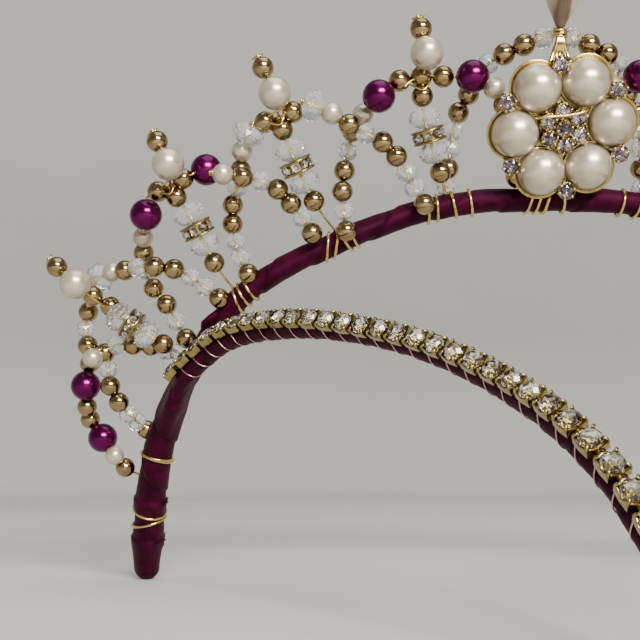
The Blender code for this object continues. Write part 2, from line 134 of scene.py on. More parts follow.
# Strings between the spikes: beads down to the band, the length along the path where the last
# bead lies (nought is the path's end), and the path
StringRow = namedtuple("StringRow", "name beads reach path")
STRINGS = [StringRow(*row) for row in (
    ("outer_string_0", "kGGkkGGkkGk", 0.0, (
        (-0.9, 113.0, -0.7), (-5.7, 111.3, -0.4), (-9.1, 109.7, -0.6), (-12.0, 107.4, -2.9),
        (-13.2, 104.2, -4.4), (-15.4, 101.2, -4.4), (-17.2, 96.8, -3.6), (-18.0, 90.6, -2.8),
        (-18.5, 85.1, -2.0),
    )),
    ("inner_string_1", "PGGkkG", 19.2, (
        (-12.1, 104.9, 0.0), (-9.4, 102.2, -0.4), (-7.6, 96.0, -0.8), (-4.6, 82.8, -0.4),
    )),
    ("outer_string_1", "PGkGGkG", 25.0, (
        (-33.2, 99.9, -0.6), (-35.6, 97.6, -2.4), (-37.0, 92.4, -2.6), (-38.2, 85.0, 0.4),
        (-37.2, 75.6, 4.4),
    )),
    ("inner_string_2", "KPGkGGkkG", 0.0, (
        (-45.3, 101.4, 1.4), (-39.8, 99.2, 1.8), (-36.2, 96.9, 2.2), (-32.7, 95.2, 2.0),
        (-29.9, 93.5, 1.6), (-27.6, 90.6, 1.8), (-25.4, 86.7, 2.6), (-23.1, 83.1, 3.4),
    )),
    ("outer_string_2", "KPGkGGkkG", 29.9, (
        (-54.9, 96.9, -1.0), (-56.9, 92.4, -2.0), (-57.6, 87.0, -2.6), (-59.2, 80.8, -2.6),
        (-58.4, 73.4, -1.0), (-54.6, 66.2, 2.0),
    )),
    ("inner_string_3", "PGkGGkG", 0.0, (
        (-62.1, 88.8, 2.6), (-56.6, 87.9, 2.2), (-53.1, 87.0, 2.0), (-49.8, 85.2, 1.8),
        (-47.6, 82.5, 1.4), (-45.6, 79.8, 1.4), (-43.9, 77.3, 2.2),
    )),
    ("outer_string_3", "PGkGGkG", 0.0, (
        (-76.1, 77.4, -0.2), (-76.8, 72.4, -3.0), (-76.7, 68.2, -3.7), (-74.9, 64.7, -2.2),
        (-72.5, 62.0, -1.2), (-70.8, 58.8, -0.6), (-68.8, 55.6, 0.4),
    )),
    ("inner_string_4", "KPGkGGkkG", 0.0, (
        (-87.6, 65.8, -5.2), (-82.9, 68.3, -2.8), (-79.1, 69.5, 0.0), (-76.1, 70.6, 1.5),
        (-69.6, 69.8, 1.2), (-67.0, 68.2, 1.0), (-61.9, 64.2, 1.4),
    )),
    ("leg_string", "GkGPGkGGkkG", 0.0, (
        (-88.6, 61.1, -5.2), (-89.5, 56.1, -3.8), (-88.9, 53.2, -1.8), (-87.0, 51.5, 1.4),
        (-85.4, 51.9, -1.2), (-84.9, 49.1, -0.6), (-84.3, 46.2, 1.6), (-82.7, 43.0, 2.4),
        (-80.9, 39.3, 1.2), (-79.5, 36.8, -0.4), (-78.3, 34.6, -2.0),
    )),
    ("end_string", "GMGGMPGw", 0.0, (
        (-89.2, 49.8, -5.4), (-89.5, 48.0, -3.9), (-89.8, 44.8, -1.0), (-89.9, 40.6, -1.0),
        (-89.9, 36.7, -2.6), (-87.6, 33.7, -1.2), (-85.0, 31.4, 1.4), (-83.2, 28.0, 1.0),
        (-81.2, 25.4, -0.6),
    )),
)]
LEG_BRANCH = StringRow("leg_branch", "kGGk", 0.0, (
    (-84.3, 52.9, -0.6), (-82.4, 53.8, -0.8), (-80.0, 53.6, -1.0), (-76.3, 53.5, -0.8),
    (-72.9, 52.8, 0.0),
))
PURPLE_BEADS = ((-15.0, 105.9, 1.2), (-31.8, 102.5, 1.8), (-63.9, 88.4, -2.6), (-74.8, 81.0, 3.0))

# Wire turns on the tiara band: how far they stand off, where each crosses the arch and its tilt
WRAP_CLEAR = 0.4
Wrap = namedtuple("Wrap", "across tilt")
WRAPS = [Wrap(*row) for row in (
    (-21.3, 14.0), (-19.6, 8.0), (-17.7, -6.0), (-14.7, -4.0),
    (-40.2, 30.0), (-38.6, 34.0), (-37.2, -12.0), (-35.2, -4.0),
    (-58.4, 24.0), (-57.2, 10.0), (-55.6, 4.0),
)]
MIDDLE_WRAPS = [Wrap(*row) for row in (
    (-2.4, 16.0), (-1.4, 14.0), (-0.4, 16.0), (0.6, 12.0), (2.6, 0.0),
)]

# Wire loops on a leg: height up the leg and their tilts in degrees
LegLoop = namedtuple("LegLoop", "up tilt roll")
LEG_LOOPS = [LegLoop(*row) for row in (
    (29.3, 4.0, 12.0), (29.9, -2.0, 16.0), (17.0, 6.0, -6.0), (14.6, -22.0, 12.0),
)]

# Frayed spots of the ribbon: height up the leg and degrees round it
FRAYS = ((19.7, 78.0), (20.3, 60.0), (9.7, 74.0), (10.4, 84.0))
THREADS_PER_FRAY = 7

# The ribbon's loose end on the arch: place on the crown's plane and radius
LOOSE_END = ((-61.4, 61.6, 0.8, 0.4), (-62.6, 60.9, 1.1, 0.75), (-63.9, 59.9, 1.3, 0.8),
             (-65.0, 58.9, 1.3, 0.75), (-65.3, 57.9, 1.0, 0.5))

# Ribbon on the legs: how far it stands out at a height up the leg
LEG_SHAPE = ((0.0, -0.3), (2.5, -0.3), (6.0, 0.0), (8.5, 0.3), (10.6, 0.45), (11.0, 0.1),
             (14.0, -0.1), (16.2, -0.1), (17.6, 0.2), (19.6, 0.4), (20.2, 0.0), (28.0, 0.0),
             (29.5, -0.15), (31.0, 0.0), (90.0, 0.0))

# Ribbon: how sharply a turn's edge rises and fades, its waviness, and coarse and fine creases
EDGE_RISE = 14.0
EDGE_FADE = 0.7
WAVINESS = 0.35
COARSE_CREASE = 0.09
FINE_CREASE = 0.035

# Ribbon windings: a turn's pitch, how proud its edge lies, sides of the mesh and noise offset
RIBBON_STEP = 0.35
Winding = namedtuple("Winding", "pitch edge sides drift")
TIARA_WINDING = Winding(12.5, 0.36, 40, 0.0)
FRONT_WINDING = Winding(9.0, 0.12, 32, 5.0)

# Leg and front band share one wrap until they stand this far apart: how it fades out across and
# along the leg, the steps of its outline, and the length of the front band's end in the leg
SPLIT_REACH = 6.4
SPLIT_FADE = 0.7
LEG_BLEND = 11.0
HULL_STEPS = 6
END_IN_LEG = 3.0

# The leg's round tip: its length, where it starts and the rings that shape it
TIP_ROUND = 2.4
TIP_LIFT = 0.5
TIP_RINGS = (0.0, 0.05, 0.12, 0.22, 0.35, 0.5, 0.7, 0.9, 1.15)

# Brooch: its place on the crown's plane, its ring of pearls with a wire rim round each, its rings
# of stones, the wire across it and the profiles of its gold
BROOCH_CENTRE = (1.2, 97.2)
BROOCH_TURN = radians(6.8)
BROOCH_BACK = 2.4
PEARL_RING = 8.6
BROOCH_PEARL_R = 4.3
PEARL_OUT = 1.7
PEARL_RIM_R = 4.62
PEARL_RIM_OUT = 1.5
StoneRing = namedtuple("StoneRing", "ring out radius depth")
OUTER_STONES = StoneRing(11.3, 3.0, 1.5, 2.4)
INNER_STONES = StoneRing(3.1, 3.2, 1.4, 2.6)
MIDDLE_STONE = StoneRing(0.0, 3.4, 1.4, 2.8)
BROOCH_WIRE = ((-4.3, 99.2, 5.6), (-3.8, 99.3, 6.8), (-2.4, 99.5, 7.2), (0.7, 99.7, 7.2),
               (3.1, 100.1, 7.2), (4.4, 100.5, 6.8), (5.0, 100.8, 5.6))
DISC_PROFILE = ((0.0, 6.0), (0.0, 8.6), (0.25, 8.9), (0.8, 8.9), (1.0, 8.6), (1.0, 6.0))
HUB_PROFILE = ((0.1, 1.0), (0.1, 6.1), (0.7, 6.1), (0.7, 1.0))
DISH_PROFILE = ((0.0, 1.0), (0.0, 3.0), (0.6, 4.1), (1.4, 4.65), (1.7, 4.6), (1.5, 4.3), (0.8, 3.2))

# Teardrop pearl: place of its tip, then height above it and radius
DROP_TIP = (0.2, 114.4, 0.4)
DROP_PROFILE = ((0.0, 0.8), (0.8, 1.15), (2.0, 1.75), (3.6, 2.5), (5.4, 3.2), (8.0, 3.85),
                (10.0, 4.05), (12.0, 3.85), (13.6, 2.95), (14.5, 1.7), (14.8, 0.45))

# Wire loops under the teardrop: drop below its tip, radius and lean; and its strands' spread
DROP_LOOPS = ((-0.5, 1.0, 0.1), (-1.0, 1.15, -0.14), (-1.5, 1.1, 0.12))
DROP_STRANDS = (-1.9, -1.0, -0.2, 0.8, 1.7)

# A strand falls from the drop's tip: share of its spread, up and out
STRAND_FALL = ((0.1, -0.9, 0.3), (0.34, -2.6, 1.2), (0.66, -4.4, 1.6), (1.0, -6.0, 2.4))

# Coils of wire: radius, pitch and turns, at a crossing and beyond a spike's top bead
CROSSING_COIL = (0.45, 0.4, 3)
TOP_COIL = (0.5, 0.26, 2, 0.18)
TOP_COIL_RISE = 2.3
STEM_RISE = 2.5

# Cut wire end beyond a spike's top bead: beside it, up and out
CUT_END = ((-1.15, 2.3, 0.1), (-0.4, 2.45, 0.4), (0.5, 2.3, 0.35), (1.1, 2.5, -0.1))

# Two ties of wire over the crossing of the inner spikes: beside its middle, up and out
LAST_TIED_SPIKE = 3
CROSS_TIES = (
    ((-3.1, 0.6, 1.9), (-1.9, 1.5, 1.9), (0.0, 1.75, 1.9), (1.9, 1.7, 1.6), (3.1, 1.1, 1.6)),
    ((-2.4, 1.3, 1.5), (-1.4, 0.3, 2.0), (0.1, -0.7, 2.15), (1.1, 0.1, 2.0), (1.6, 1.3, 1.5)),
)

# Floor that bends up into a wall, and the camera
FLOOR_REACH = 900.0
WALL_BEND = 600.0
WALL_TOP = 1300.0
CAMERA_PLACE = (-0.0424, TIPS_Y * MM - 0.214284, 0.021958)
CAMERA_RISE = 9.2176

random.seed(7)


def unit(vector):
    return vector / np.linalg.norm(vector)


def crown_point(across, up, out=0.0):
    """A point of the crown's plane, with out counted towards the front band."""
    return np.array((
        across,
        TIPS_Y - up * cos(CROWN_LEAN) - out * sin(CROWN_LEAN),
        up * sin(CROWN_LEAN) - out * cos(CROWN_LEAN),
    ))


# The crown's directions
UP = crown_point(0.0, 1.0) - crown_point(0.0, 0.0)
OUT = crown_point(0.0, 0.0, 1.0) - crown_point(0.0, 0.0)
ACROSS = np.array((1.0, 0.0, 0.0))


def round_turns(count):
    """Angles of equal steps round a circle."""
    return [2.0 * pi * i / count for i in range(count)]


def even_steps(start, stop, count):
    return [start + (stop - start) * i / count for i in range(count + 1)]


def rings_about_z(rows, sides):
    """Corners of rings: height, radius, and the share of a side by which the ring is turned."""
    return np.array([
        (radius * cos(turn), radius * sin(turn), height)
        for height, radius, step in rows
        for turn in [2.0 * pi * (side + step) / sides for side in range(sides)]
    ])


def turn_to(axis, spin):
    """The matrix that turns Z to an axis after a spin about Z."""
    turn = np.array(Vector(unit(axis)).to_track_quat("Z", "Y").to_matrix())
    c, s = cos(spin), sin(spin)
    return turn @ np.array(((c, -s, 0.0), (s, c, 0.0), (0.0, 0.0, 1.0)))


def square_to(axis, hint):
    """An axis and two directions at right angles to it and to each other."""
    axis = unit(axis)
    across = unit(np.cross(axis, hint))
    return axis, across, np.cross(axis, across)


def around(front, left, turn):
    """A direction that stands at an angle between two others."""
    return front * cos(turn) + left * sin(turn)


def off_floor(verts):
    verts[:, 2] = np.maximum(verts[:, 2], FLOOR_CLEAR)
    return verts


class Path:
    """A centripetal curve through points, asked for its point at any length along it."""

    def __init__(self, points, steps=12):
        points = [np.asarray(p, float) for p in points]
        ends = [points[0] * 2 - points[1], *points, points[-1] * 2 - points[-2]]
        curve = []
        for a, b, c, d in zip(ends, ends[1:], ends[2:], ends[3:]):
            ta = 0.0
            tb = ta + sqrt(np.linalg.norm(b - a))
            tc = tb + sqrt(np.linalg.norm(c - b))
            td = tc + sqrt(np.linalg.norm(d - c))
            for step in range(steps):
                t = tb + (tc - tb) * step / steps
                ab = a + (b - a) * (t - ta) / (tb - ta)
                bc = b + (c - b) * (t - tb) / (tc - tb)
                cd = c + (d - c) * (t - tc) / (td - tc)
                abc = ab + (bc - ab) * (t - ta) / (tc - ta)
                bcd = bc + (cd - bc) * (t - tb) / (td - tb)
                curve.append(abc + (bcd - abc) * (t - tb) / (tc - tb))
        curve.append(points[-1])
        self.points = np.array(curve)
        steps_long = np.linalg.norm(np.diff(self.points, axis=0), axis=1)
        self.lengths = np.concatenate(([0.0], np.cumsum(steps_long)))
        self.total = float(self.lengths[-1])

    def at(self, length):
        i = int(np.searchsorted(self.lengths, length)) - 1
        i = min(max(i, 0), len(self.points) - 2)
        part = (length - self.lengths[i]) / (self.lengths[i + 1] - self.lengths[i])
        return self.points[i] + (self.points[i + 1] - self.points[i]) * part

    def direction(self, length, reach=0.4):
        return unit(self.at(length + reach) - self.at(length - reach))

    def distance(self, point):
        return float(np.min(np.linalg.norm(self.points - point, axis=1)))

    def nearest(self, point):
        return float(self.lengths[np.argmin(np.linalg.norm(self.points - point, axis=1))])


def mirrored(points, side):
    return [np.asarray(p, float) * np.array((side, 1.0, 1.0)) for p in points]


def crown_points(rows, side):
    return mirrored([crown_point(*row) for row in rows], side)


def whole_path(half):
    return Path(half + mirrored(half[:-1], -1)[::-1])


def arch_path():
    return whole_path([crown_point(row.across, row.up) for row in ARCH_HALF])


def front_path():
    return whole_path([np.array((across, TIPS_Y - forward, height))
                       for across, forward, height in FRONT_HALF])


ARCH_ACROSS, ARCH_UP, ARCH_RADII = zip(*ARCH_HALF)


def arch_radius(up):
    return float(np.interp(up, ARCH_UP, ARCH_RADII))


def leg_length(arch, up, side):
    """Length along the arch at a height up one of its legs."""
    return arch.nearest(crown_point(float(np.interp(up, ARCH_UP, ARCH_ACROSS)) * side, up))


# Materials


def set_inputs(node, **inputs):
    """Sets or links a node's own sockets; an underscore in a name stands for a space."""
    for name, value in inputs.items():
        socket = node.inputs[name.replace("_", " ")]
        if isinstance(value, bpy.types.NodeSocket):
            node.id_data.links.new(value, socket)
        else:
            socket.default_value = value


def add_node(tree, kind, **inputs):
    node = tree.nodes.new("ShaderNode" + kind)
    set_inputs(node, **inputs)
    return node


def coords(tree, kind="Object"):
    return add_node(tree, "TexCoord").outputs[kind]


def axis_of(source, axis):
    return add_node(source.id_data, "SeparateXYZ", Vector=source).outputs[axis]


def new_material(name):
    made = bpy.data.materials.new(name)
    made.use_nodes = True
    return made, made.node_tree, made.node_tree.nodes["Principled BSDF"]


def noise_of(tree, scale, detail):
    return add_node(tree, "TexNoise", Scale=scale, Detail=detail, Vector=coords(tree)).outputs["Fac"]


def spread(source, low, high, from_low=0.3, from_high=0.7):
    """Maps a source onto a range of numbers."""
    node = add_node(source.id_data, "MapRange", From_Min=from_low, From_Max=from_high,
                    To_Min=low, To_Max=high, Value=source)
    return node.outputs["Result"]


def ramp_colour(source, *stops):
    """A source's colour from stops in rising order: place, then a colour or a grey level."""
    ramp = add_node(source.id_data, "ValToRGB", Fac=source)
    elements = ramp.color_ramp.elements
    for i, (place, colour) in enumerate(stops):
        stop = elements[i] if i < 2 else elements.new(place)
        stop.position = place
        stop.color = (colour, colour, colour, 1.0) if isinstance(colour, float) else (*colour, 1.0)
    return ramp.outputs["Color"]


def multiplied(one, two):
    mixed = add_node(one.id_data, "MixRGB", Fac=1.0, Color1=one, Color2=two)
    mixed.blend_type = "MULTIPLY"
    return mixed.outputs["Color"]


def add_bump(shader, height, distance, strength):
    bump = add_node(shader.id_data, "Bump", Strength=strength, Distance=distance, Height=height)
    set_inputs(shader, Normal=bump.outputs["Normal"])


def mottled_material(name, noise_scale, detail, dark, light, rough, low=0.3, high=0.7):
    """A material whose colour and roughness both follow one noise."""
    made, tree, shader = new_material(name)
    cloud = noise_of(tree, noise_scale, detail)
    set_inputs(shader, Base_Color=ramp_colour(cloud, (low, dark), (high, light)),
               Roughness=spread(cloud, *rough))
    return made, shader, cloud


def ribbon_material():
    """Satin ribbon: threads along its turns, mottling, and a shade under the edge of each turn."""
    made, tree, shader = new_material("plum_satin_ribbon")
    cloud = noise_of(tree, 420.0, 4.0)
    mottling = ramp_colour(cloud, (0.3, (0.0085, 0.0002, 0.0023)), (0.7, (0.038, 0.0006, 0.011)))
    windings = coords(tree, "UV")
    threads = add_node(tree, "TexWave", Scale=5.0, Distortion=0.6, Detail=1.0, Vector=windings)
    threads.bands_direction = "Y"
    turn = add_node(tree, "Math", Value=axis_of(windings, "X"))
    turn.operation = "FRACT"
    shade = ramp_colour(turn.outputs["Value"],
                        (0.0, 0.5), (0.05, 1.0), (0.9, 0.86), (1.0, 0.42))
    set_inputs(shader, Base_Color=multiplied(mottling, shade),
               Roughness=spread(cloud, 0.42, 0.58), Sheen_Weight=0.03, Sheen_Roughness=0.4,
               Sheen_Tint=(0.9, 0.08, 0.35, 1.0), Specular_IOR_Level=0.16,
               Specular_Tint=(1.0, 0.25, 0.6, 1.0))
    add_bump(shader, threads.outputs["Fac"], 0.00004, 0.35)
    return made


def gold_material(name, dark, light, rough, noise_scale):
    made, shader, cloud = mottled_material(name, noise_scale, 3.0, dark, light, rough)
    set_inputs(shader, Metallic=1.0)
    add_bump(shader, cloud, 0.00002, 0.2)
    return made


def pearl_material(name, dark, light, metallic, coat, rough):
    """Nacre: a soft body colour under a smoother skin, mottled very faintly."""
    made, shader, _ = mottled_material(name, 260.0, 2.0, dark, light, (rough, rough + 0.08))
    set_inputs(shader, Metallic=metallic, Coat_Weight=coat, Coat_Roughness=0.15)
    return made


def glass_material(name, tint, ior, clear=1.0, film=0.0):
    pale = tuple(channel * 0.93 for channel in tint)
    made, shader, _ = mottled_material(name, 300.0, 2.0, pale, tint, (0.0, 0.02))
    set_inputs(shader, Transmission_Weight=clear, Thin_Film_Thickness=film, IOR=ior)
    return made


def foil_material(name, dark, light):
    """Silvered back of a cut stone."""
    made, shader, _ = mottled_material(name, 900.0, 2.0, dark, light, (0.05, 0.16), 0.42, 0.58)
    set_inputs(shader, Metallic=1.0)
    return made


def drop_material():
    """Champagne pearl with streaks along the drop: dark down the middle and paler at the sides."""
    made, tree, shader = new_material("champagne_pearl")
    stretch = add_node(tree, "Mapping", Scale=(1.0, 0.03, 0.03), Vector=coords(tree))
    streaks = add_node(tree, "TexWave", Scale=50.0, Distortion=1.2, Detail=3.0, Detail_Scale=8.0,
                       Vector=stretch.outputs["Vector"]).outputs["Fac"]
    colour = ramp_colour(streaks, (0.3, (0.11, 0.068, 0.04)), (0.7, (0.45, 0.36, 0.25)))
    set_inputs(shader, Base_Color=colour, Roughness=spread(streaks, 0.18, 0.32),
               Coat_Weight=0.6, Coat_Roughness=0.1, Subsurface_Weight=0.2,
               Subsurface_Radius=(0.002, 0.0015, 0.001))
    return made


LOOKS = {
    "ribbon": ribbon_material(),
    "gold": gold_material(
        "gold_bead_metal", (0.265, 0.185, 0.08), (0.39, 0.285, 0.14), (0.1, 0.19), 500.0),
    "wire": gold_material(
        "gold_wire_metal", (0.53, 0.385, 0.11), (0.76, 0.57, 0.22), (0.14, 0.26), 900.0),
    "cup": gold_material(
        "gold_cup_metal", (0.25, 0.19, 0.06), (0.42, 0.33, 0.13), (0.14, 0.28), 900.0),
    "binding": gold_material(
        "rose_wire_metal", (0.42, 0.24, 0.20), (0.60, 0.39, 0.33), (0.2, 0.35), 900.0),
    "pearl": pearl_material(
        "cream_pearl_shell", (0.49, 0.41, 0.29), (0.60, 0.52, 0.395), 0.66, 1.0, 0.27),
    "purple": pearl_material(
        "purple_pearl_shell", (0.08, 0.0006, 0.042), (0.135, 0.0018, 0.08), 0.92, 0.08, 0.18),
    "crystal": glass_material("clear_crystal", (0.97, 0.97, 0.98), 1.58, 0.9, 420.0),
    "stone": glass_material("clear_stone", (0.97, 0.95, 0.96), 1.6),
    "foil": foil_material("mauve_stone_foil", (0.20, 0.145, 0.18), (0.97, 0.90, 0.95)),
    "warm foil": foil_material("warm_stone_foil", (0.34, 0.28, 0.19), (0.99, 0.96, 0.89)),
    "drop": drop_material(),
}


# Mesh building


def add_object(name, data):
    made = bpy.data.objects.new(name, data)
    bpy.context.scene.collection.objects.link(made)
    return made


class Piece:
    """Gathers many forms into one mesh that rides on the headpiece."""

    def __init__(self, name):
        self.name = name
        self.blocks = []
        self.count = 0
        self.faces = []
        self.face_looks = []
        self.face_smooth = []
        self.looks = []
        self.uvs = None

    def add(self, verts, faces, looks, smooth=True):
        """Adds a mesh in one look, or with a look for each face."""
        if isinstance(looks, str):
            looks = [looks] * len(faces)
        self.looks += [look for look in dict.fromkeys(looks) if look not in self.looks]
        self.blocks.append(np.asarray(verts, float))
        self.faces.extend([[self.count + v for v in face] for face in faces])
        self.count += len(verts)
        self.face_looks.extend([self.looks.index(look) for look in looks])
        self.face_smooth.extend([smooth] * len(faces))

    def put(self, form, centre, turn):
        for verts, faces, looks, smooth in form:
            self.add(verts @ turn.T + centre, faces, looks, smooth)

    def place(self, form, centre, axis, spin=0.0):
        """Puts a form, which is modelled about Z, at a centre with Z turned to an axis."""
        self.put(form, centre, turn_to(axis, spin))

    def add_tube(self, points, radius, sides=7, look="wire"):
        self.add(*tube(points, radius, sides), look)

    def add_curve(self, points, radius, steps=5, sides=7):
        """Adds a wire along a smooth curve through points."""
        self.add_tube(Path(points, steps).points, radius, sides)

    def finish(self, slot, *nodes):
        mesh = bpy.data.meshes.new(self.name)
        mesh.from_pydata((np.concatenate(self.blocks) * MM).tolist(), [], self.faces)
        for look in self.looks:
            mesh.materials.append(LOOKS[look])
        mesh.polygons.foreach_set("material_index", self.face_looks)
        mesh.polygons.foreach_set("use_smooth", self.face_smooth)
        if self.uvs is not None:
            layer = mesh.uv_layers.new(name="threads")
            corners = np.empty(len(mesh.loops), dtype=np.int32)
            mesh.loops.foreach_get("vertex_index", corners)
            layer.data.foreach_set("uv", np.asarray(self.uvs, float)[corners].ravel())
        mesh.update()
        made = add_object(self.name, mesh)
        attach(made, "root")
        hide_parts(*nodes)


def ring_faces(rings, sides, closed=False):
    faces = []
    for ring in range(rings if closed else rings - 1):
        low = ring * sides
        high = (ring + 1) % rings * sides
        for side in range(sides):
            after = (side + 1) % sides
            faces.append((low + side, low + after, high + after, high + side))
    if not closed:
        faces += end_caps(rings, sides)
    return faces


def end_caps(rings, sides):
    last = (rings - 1) * sides
    return [tuple(range(sides))[::-1], tuple(range(last, last + sides))]


def tube(points, radius, sides=8, closed=False):
    """Verts and faces of a wire through points; the radius may change along it."""
    points = np.asarray(points, float)
    count = len(points)
    radii = np.broadcast_to(radius, (count,))
    ahead = np.roll(points, -1, axis=0) - np.roll(points, 1, axis=0)
    if not closed:
        ahead[0] = points[1] - points[0]
        ahead[-1] = points[-1] - points[-2]
    verts = np.empty((count * sides, 3))
    turns = round_turns(sides)
    across = None
    for i in range(count):
        along = unit(ahead[i])
        if across is None:
            across = np.cross(along, (0.0, 0.0, 1.0) if abs(along[2]) < 0.9 else (1.0, 0.0, 0.0))
        across = unit(across - along * np.dot(across, along))
        other = np.cross(along, across)
        ring = np.outer(np.cos(turns), across) + np.outer(np.sin(turns), other)
        verts[i * sides:(i + 1) * sides] = points[i] + ring * radii[i]
    return verts, ring_faces(count, sides, closed)


def lathe(profile, sides, look, smooth=True):
    """A closed turned form from (height, radius) rows."""
    verts = rings_about_z([(*row, 0.0) for row in profile], sides)
    return [(verts, ring_faces(len(profile), sides), look, smooth)]


def torus(ring, thick, sides):
    points = [(cos(t) * ring, sin(t) * ring, 0.0) for t in round_turns(sides)]
    return [(*tube(points, thick, 8, closed=True), "wire", True)]


def round_bead(radius, look, segments=22, rings=13):
    """A bead with a hole along Z for the wire."""
    edge = asin(HOLE_R / radius)
    turns = [edge + (pi - 2.0 * edge) * i / (rings - 1) for i in range(rings)]
    rows = [(-radius * cos(turn), radius * sin(turn)) for turn in turns]
    inside = radius * 0.6
    return lathe([(-inside, HOLE_R * 0.9), *rows, (inside, HOLE_R * 0.9)], segments, look)


def whole_bead(radius, look, segments=44, rings=24):
    turns = [pi * i / rings for i in range(1, rings)]
    return lathe([(-radius * cos(t), radius * sin(t)) for t in turns], segments, look)


def cut_bead(length, radius, sides):
    """A cut glass bead: rings of corners that step round by half a side, joined by triangles."""
    half = length / 2.0
    rows = ((-half, radius * 0.32, 0.0), (-half * 0.72, radius * 0.74, 0.5),
            (-half * 0.24, radius, 0.0), (half * 0.24, radius, 0.5),
            (half * 0.72, radius * 0.74, 0.0), (half, radius * 0.32, 0.5))
    faces = []
    for ring in range(len(rows) - 1):
        for side in range(sides):
            low, low_after = ring * sides + side, ring * sides + (side + 1) % sides
            high, high_after = low + sides, low_after + sides
            if ring % 2 == 0:
                faces += [(low, low_after, high), (high, low_after, high_after)]
            else:
                faces += [(low, high_after, high), (low, low_after, high_after)]
    return [(rings_about_z(rows, sides), faces + end_caps(len(rows), sides), "crystal", False)]


def cut_stone(radius, crown, pavilion, back):
    """A round cut stone about Z: table, two rows of crown facets, girdle and a silvered back."""
    rows = ((crown, radius * 0.56, 0.5), (crown * 0.55, radius * 0.86, 0.0), (0.08, radius, 0.5),
            (-0.08, radius, 0.5))
    verts = np.vstack((rings_about_z(rows, 8), (0.0, 0.0, -pavilion)))
    front = [tuple(range(8))]
    for side in range(8):
        after = (side + 1) % 8
        front += [(side, 8 + after, after), (side, 8 + side, 8 + after),
                  (8 + side, 16 + side, 8 + after), (8 + after, 16 + side, 16 + after),
                  (16 + side, 24 + side, 24 + after, 16 + after)]
    cone = [(24 + side, 32, 24 + (side + 1) % 8) for side in range(8)]
    looks = ["stone"] * len(front) + [back] * len(cone)
    return [(verts, outward(verts, front + cone), looks, False)]


def outward(verts, faces):
    """Turns each face of a convex form so that it looks away from its middle."""
    middle = verts.mean(axis=0)
    turned = []
    for face in faces:
        corners = verts[list(face)]
        normal = np.cross(corners[1] - corners[0], corners[2] - corners[1])
        away = np.dot(normal, corners.mean(axis=0) - middle) > 0.0
        turned.append(face if away else face[::-1])
    return turned


def add_stone(piece, centre, axis, radius, spin, crown=0.75, pavilion=0.8, back="foil"):
    piece.place(cut_stone(radius, crown, radius * pavilion, back), centre, axis, spin)


def spacer_form():
    """Two gold rims, with a core between them that carries a row of small cut stones."""
    half = BEADS["S"].length / 2.0
    radius = BEADS["S"].radius
    form = lathe(((-half, 0.6), (-half, 2.3), (half, 2.3), (half, 0.6)), 20, "cup", False)
    for height in (-half + 0.28, half - 0.28):
        form += lathe(((height - 0.26, 2.1), (height - 0.2, radius - 0.12), (height, radius),
                       (height + 0.2, radius - 0.12), (height + 0.26, 2.1)), 26, "cup")
    return form


FORMS = {
    "G": round_bead(BEADS["G"].radius, "gold"),
    "P": round_bead(BEADS["P"].radius, "pearl"),
    "M": round_bead(BEADS["M"].radius, "purple", 30, 17),
    "pearl": round_bead(BEADS["M"].radius, "pearl", 30, 17),
    "k": cut_bead(*BEADS["k"], 8),
    "K": cut_bead(*BEADS["K"], 12),
    "S": spacer_form(),
}


def add_spacer_stones(piece, centre, axis):
    _, across, other = square_to(axis, (0.31, 0.87, 0.38))
    for turn in round_turns(9):
        out = around(across, other, turn)
        add_stone(piece, centre + out * 2.6, out, 0.8, random.random(), 0.42, 0.3, "warm foil")


def add_beads(piece, path, letters, share=1.0):
    """Threads beads along a path; a share below one presses the row together."""
    start = 0.0
    for letter in letters:
        bead = BEADS[letter]
        middle = start + bead.length * share / 2.0
        centre = path.at(middle)
        along = path.direction(middle, 1.0)
        if letter != "w":
            piece.place(FORMS[letter], centre, along, random.uniform(0.0, 6.28))
        if letter == "S":
            add_spacer_stones(piece, centre, along)
        start += bead.length * share
    return start


def add_wire(piece, path, start, stop):
    lengths = even_steps(start, stop, max(4, int((stop - start) / 0.8)))
    piece.add_tube([path.at(length) for length in lengths], WIRE_R)


def add_coil(piece, centre, axis, radius, pitch, turns, thick=COIL_WIRE_R):
    """A few close turns of wire about an axis."""
    axis, across, other = square_to(axis, (0.2, 0.5, 0.84))
    steps = int(turns * 14)
    points = []
    for i in range(steps + 1):
        out = around(across, other, 2.0 * pi * turns * i / steps)
        points.append(centre + out * radius + axis * (pitch * turns * (i / steps - 0.5)))
    piece.add_tube(points, thick, 6)


def run_on_to_band(path, start, arch, seat):
    stop = start
    while arch.distance(path.at(stop + 0.2)) > seat and stop < path.total:
        stop += 0.2
    return stop


# Ribbon bands


def ribbon_frame(path, length, facing):
    """At a length: along the path, towards the side it faces, and to the path's left."""
    along = path.direction(length, 0.8)
    front = unit(facing - along * np.dot(facing, along))
    return along, front, np.cross(front, along)


